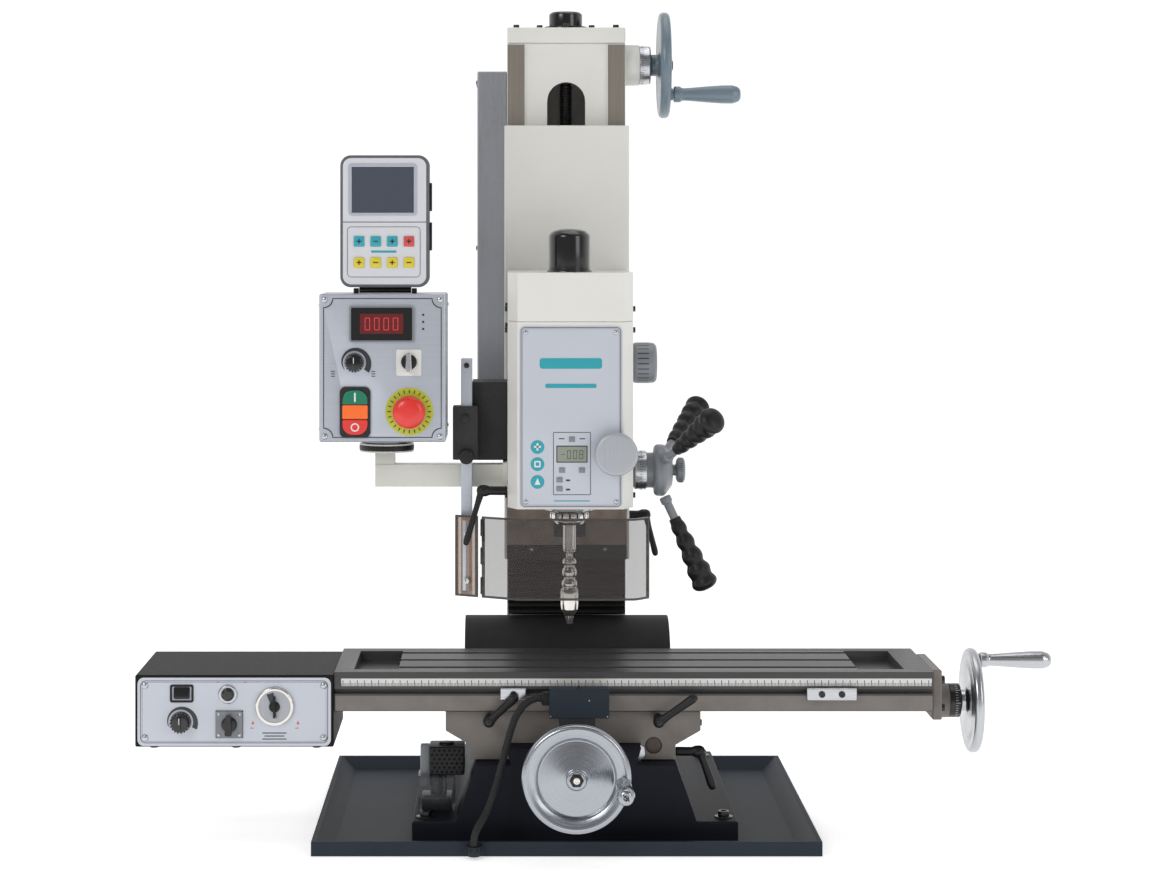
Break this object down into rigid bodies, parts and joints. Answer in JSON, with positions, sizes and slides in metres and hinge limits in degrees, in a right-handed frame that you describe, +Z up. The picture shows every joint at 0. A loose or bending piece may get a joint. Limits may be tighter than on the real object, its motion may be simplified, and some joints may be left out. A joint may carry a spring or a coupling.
{
  "type": "benchtop milling machine",
  "caption": "Benchtop milling machine: column, geared head with quill and chuck, cross-slide table with power feed, handwheels, control boxes and chuck guard, on a drip tray.",
  "frame": {"origin": "on the underside of the drip tray, below the spindle axis in X and midway along the tray from front to back", "axes": "+X to the right along the table, +Y towards the column at the back, +Z up"},
  "size_m": [1.3033, 0.7353, 1.192],
  "materials": {
    "white_paint": "satin off-white machine enamel",
    "navy_paint": "satin dark navy enamel",
    "black_paint": "satin black enamel",
    "ground_iron": "ground, lightly oiled",
    "taupe_iron": "machined, grey-brown",
    "bright_steel": "bright turned steel",
    "polished_metal": "polished, turned",
    "chrome": "bright chrome",
    "slate_enamel": "blue-grey enamel",
    "grey_enamel": "mid grey enamel",
    "silver_panel": "brushed silver",
    "black_plastic": "black moulded plastic",
    "rubber": "matt black",
    "red_plastic": "red",
    "green_plastic": "green",
    "smoke": "smoky clear polycarbonate"
  },
  "bodies": {
    "root": {"drip_tray": "navy_paint", "base_casting": "navy_paint", "column": "white_paint", "column_top_cap": "white_paint", "cable_cabinet": "white_paint", "oil_pump": "black_plastic", "rear_way_cover": "rubber", "conduit_hose": "rubber"},
    "y_wheel": {"y_handwheel": "polished_metal", "y_leadscrew": "bright_steel"},
    "y_crank": {"y_crank_handle": "polished_metal"},
    "saddle": {"saddle": "taupe_iron", "travel_stop_block": "navy_paint"},
    "x_lock_left": {"x_lock_lever_left": "black_plastic"},
    "x_lock_right": {"x_lock_lever_right": "black_plastic"},
    "y_lock": {"y_lock_lever": "black_plastic"},
    "table": {"table": "ground_iron", "stop_dog_left": "bright_steel", "stop_dog_right": "bright_steel", "end_bracket": "taupe_iron", "feed_box_housing": "black_paint"},
    "feed_rocker": {"feed_rocker_switch": "black_plastic"},
    "feed_speed": {"feed_speed_knob": "black_plastic"},
    "feed_rapid": {"feed_rapid_button": "black_plastic"},
    "feed_direction": {"feed_direction_lever": "black_plastic"},
    "feed_dial": {"feed_dial": "silver_panel"},
    "x_wheel": {"x_handwheel": "polished_metal", "x_leadscrew": "bright_steel"},
    "x_crank": {"x_crank_handle": "polished_metal"},
    "z_wheel": {"z_handwheel": "slate_enamel"},
    "z_crank": {"z_crank_handle": "slate_enamel"},
    "z_screw": {"z_leadscrew": "bright_steel"},
    "head": {"head_slide": "white_paint", "head_casting": "white_paint", "head_top_cover": "white_paint", "head_way_cover": "rubber", "control_arm": "white_paint", "guard_clamp": "black_plastic"},
    "quill": {"quill": "bright_steel"},
    "spindle": {"spindle": "chrome", "drill_chuck": "chrome"},
    "spindle_gear": {"spindle_gear": "bright_steel"},
    "motor": {"motor_rotor": "bright_steel"},
    "feed_hub": {"feed_hub": "grey_enamel", "feed_lever_front": "black_plastic", "feed_lever_lower": "black_plastic", "feed_lever_rear": "black_plastic"},
    "fine_feed": {"fine_feed_knob": "grey_enamel"},
    "gear_selector": {"gear_selector_knob": "grey_enamel"},
    "head_lock_left": {"head_lock_lever_left": "black_plastic"},
    "head_lock_right": {"head_lock_lever_right": "black_plastic"},
    "control_box": {"control_box": "silver_panel"},
    "dro": {"dro_display": "silver_panel"},
    "speed_knob": {"speed_knob": "black_plastic"},
    "direction_switch": {"direction_switch": "black_plastic"},
    "start_button": {"start_button": "green_plastic"},
    "stop_button": {"stop_button": "red_plastic"},
    "emergency_stop": {"emergency_stop": "red_plastic"},
    "guard_rail": {"guard_rail": "bright_steel"},
    "guard_shield": {"guard_shield": "smoke"}
  },
  "joints": [
    {"name": "y_wheel_turn", "type": "hinge", "parent": "root", "child": "y_wheel", "pos_m": [0.004, -0.345, 0.117], "axis": [0, 1, 0], "range_deg": [-7201, 9001]},
    {"name": "saddle_travel", "type": "slide", "parent": "root", "child": "saddle", "axis": [0, 1, 0], "range_m": [-0.08, 0.1], "deforming": ["rear_way_cover", "conduit_hose"]},
    {"name": "y_crank_spin", "type": "hinge", "parent": "y_wheel", "child": "y_crank", "pos_m": [0.067, -0.358, 0.111], "axis": [0, 1, 0], "continuous": true},
    {"name": "x_lock_left_turn", "type": "hinge", "parent": "saddle", "child": "x_lock_left", "pos_m": [-0.115, -0.2, 0.172], "axis": [0, 1, 0], "range_deg": [-40, 30]},
    {"name": "x_lock_right_turn", "type": "hinge", "parent": "saddle", "child": "x_lock_right", "pos_m": [0.122, -0.2, 0.172], "axis": [0, 1, 0], "range_deg": [-40, 30]},
    {"name": "y_lock_turn", "type": "hinge", "parent": "saddle", "child": "y_lock", "pos_m": [0.147, -0.19, 0.123], "axis": [1, 0, 0], "range_deg": [-30, 30]},
    {"name": "x_wheel_turn", "type": "hinge", "parent": "table", "child": "x_wheel", "pos_m": [0, -0.106, 0.18], "axis": [1, 0, 0], "range_deg": [-27901, 13501]},
    {"name": "table_travel", "type": "slide", "parent": "saddle", "child": "table", "axis": [1, 0, 0], "range_m": [-0.31, 0.15]},
    {"name": "x_crank_spin", "type": "hinge", "parent": "x_wheel", "child": "x_crank", "pos_m": [0.59, -0.106, 0.238], "axis": [1, 0, 0], "continuous": true},
    {"name": "feed_rocker_tilt", "type": "hinge", "parent": "table", "child": "feed_rocker", "pos_m": [-0.5445, -0.2125, 0.209], "axis": [1, 0, 0], "range_deg": [0, 16]},
    {"name": "feed_speed_turn", "type": "hinge", "parent": "table", "child": "feed_speed", "pos_m": [-0.546, -0.215, 0.169], "axis": [0, 1, 0], "range_deg": [-140, 140]},
    {"name": "feed_rapid_press", "type": "slide", "parent": "table", "child": "feed_rapid", "axis": [0, 1, 0], "range_m": [0, 0.002], "stiffness_N_per_m": 200, "springref_m": -0.003},
    {"name": "feed_direction_turn", "type": "hinge", "parent": "table", "child": "feed_direction", "pos_m": [-0.478, -0.218, 0.166], "axis": [0, 1, 0], "range_deg": [-40, 40]},
    {"name": "feed_dial_turn", "type": "hinge", "parent": "table", "child": "feed_dial", "pos_m": [-0.4145, -0.215, 0.191], "axis": [0, 1, 0], "range_deg": [-140, 140]},
    {"name": "z_wheel_turn", "type": "hinge", "parent": "root", "child": "z_wheel", "pos_m": [0.113, 0.15, 1.111], "axis": [1, 0, 0], "range_deg": [-4051, 11251]},
    {"name": "head_travel", "type": "slide", "parent": "root", "child": "head", "axis": [0, 0, 1], "range_m": [-0.045, 0.125], "deforming": ["head_way_cover"]},
    {"name": "z_screw_turn", "type": "hinge", "parent": "root", "child": "z_screw", "pos_m": [0, 0.15, 1.085], "axis": [0, 0, 1], "range_deg": [-4051, 11251]},
    {"name": "z_crank_spin", "type": "hinge", "parent": "z_wheel", "child": "z_crank", "pos_m": [0.163, 0.106, 1.064], "axis": [1, 0, 0], "continuous": true},
    {"name": "feed_hub_turn", "type": "hinge", "parent": "head", "child": "feed_hub", "pos_m": [0.089, -0.09, 0.51], "axis": [1, 0, 0], "range_deg": [0, 180], "stiffness_Nm_per_rad": 0.6, "springref_deg": -171.89},
    {"name": "quill_feed", "type": "slide", "parent": "head", "child": "quill", "axis": [0, 0, -1], "range_m": [0, 0.0451]},
    {"name": "spindle_turn", "type": "hinge", "parent": "quill", "child": "spindle", "pos_m": [0, -0.106, 0.4], "axis": [0, 0, 1], "continuous": true},
    {"name": "spindle_gear_turn", "type": "hinge", "parent": "head", "child": "spindle_gear", "pos_m": [0, -0.106, 0.745], "axis": [0, 0, 1], "continuous": true},
    {"name": "motor_turn", "type": "hinge", "parent": "head", "child": "motor", "pos_m": [0, 0, 0.745], "axis": [0, 0, 1], "continuous": true},
    {"name": "fine_feed_turn", "type": "hinge", "parent": "head", "child": "fine_feed", "pos_m": [0.063, -0.196, 0.5435], "axis": [0, 1, 0], "continuous": true},
    {"name": "gear_selector_turn", "type": "hinge", "parent": "head", "child": "gear_selector", "pos_m": [0.089, -0.106, 0.666], "axis": [1, 0, 0], "range_deg": [0, 90]},
    {"name": "head_lock_left_turn", "type": "hinge", "parent": "head", "child": "head_lock_left", "pos_m": [-0.089, -0.16, 0.487], "axis": [1, 0, 0], "range_deg": [-60, 0]},
    {"name": "head_lock_right_turn", "type": "hinge", "parent": "head", "child": "head_lock_right", "pos_m": [0.094, 0.082, 0.427], "axis": [1, 0, 0], "range_deg": [0, 60]},
    {"name": "control_swivel", "type": "hinge", "parent": "head", "child": "control_box", "pos_m": [-0.263, -0.107, 0.551], "axis": [0, 0, 1], "range_deg": [-75, 0]},
    {"name": "dro_tilt", "type": "hinge", "parent": "control_box", "child": "dro", "pos_m": [-0.263, -0.152, 0.7718], "axis": [1, 0, 0], "range_deg": [-12, 12]},
    {"name": "speed_knob_turn", "type": "hinge", "parent": "control_box", "child": "speed_knob", "pos_m": [-0.305, -0.185, 0.67], "axis": [0, 1, 0], "range_deg": [-140, 140]},
    {"name": "direction_switch_turn", "type": "hinge", "parent": "control_box", "child": "direction_switch", "pos_m": [-0.228, -0.185, 0.671], "axis": [0, 1, 0], "range_deg": [-45, 45]},
    {"name": "start_press", "type": "slide", "parent": "control_box", "child": "start_button", "axis": [0, 1, 0], "range_m": [0, 0.003], "stiffness_N_per_m": 200, "springref_m": -0.003},
    {"name": "stop_press", "type": "slide", "parent": "control_box", "child": "stop_button", "axis": [0, 1, 0], "range_m": [0, 0.003], "stiffness_N_per_m": 200, "springref_m": -0.003},
    {"name": "emergency_stop_press", "type": "slide", "parent": "control_box", "child": "emergency_stop", "axis": [0, 1, 0], "range_m": [0, 0.005], "stiffness_N_per_m": 300, "springref_m": -0.004},
    {"name": "guard_slide", "type": "slide", "parent": "head", "child": "guard_rail", "axis": [0, 0, 1], "range_m": [-0.05, 0]},
    {"name": "guard_swing", "type": "hinge", "parent": "guard_rail", "child": "guard_shield", "pos_m": [-0.125, -0.172, 0.337], "axis": [0, 0, 1], "range_deg": [-75, 0]}
  ],
  "couplings": [
    {"joint": "y_wheel_turn", "follows": "saddle_travel", "rad_per_m": 1570.8},
    {"joint": "x_wheel_turn", "follows": "table_travel", "rad_per_m": 1570.8},
    {"joint": "z_wheel_turn", "follows": "head_travel", "rad_per_m": 1570.8},
    {"joint": "z_screw_turn", "follows": "head_travel", "rad_per_m": 1570.8},
    {"joint": "quill_feed", "follows": "feed_hub_turn", "m_per_rad": 0.014324},
    {"joint": "spindle_gear_turn", "follows": "spindle_turn", "ratio": 1},
    {"joint": "motor_turn", "follows": "spindle_turn", "ratio": -1.25}
  ]
}
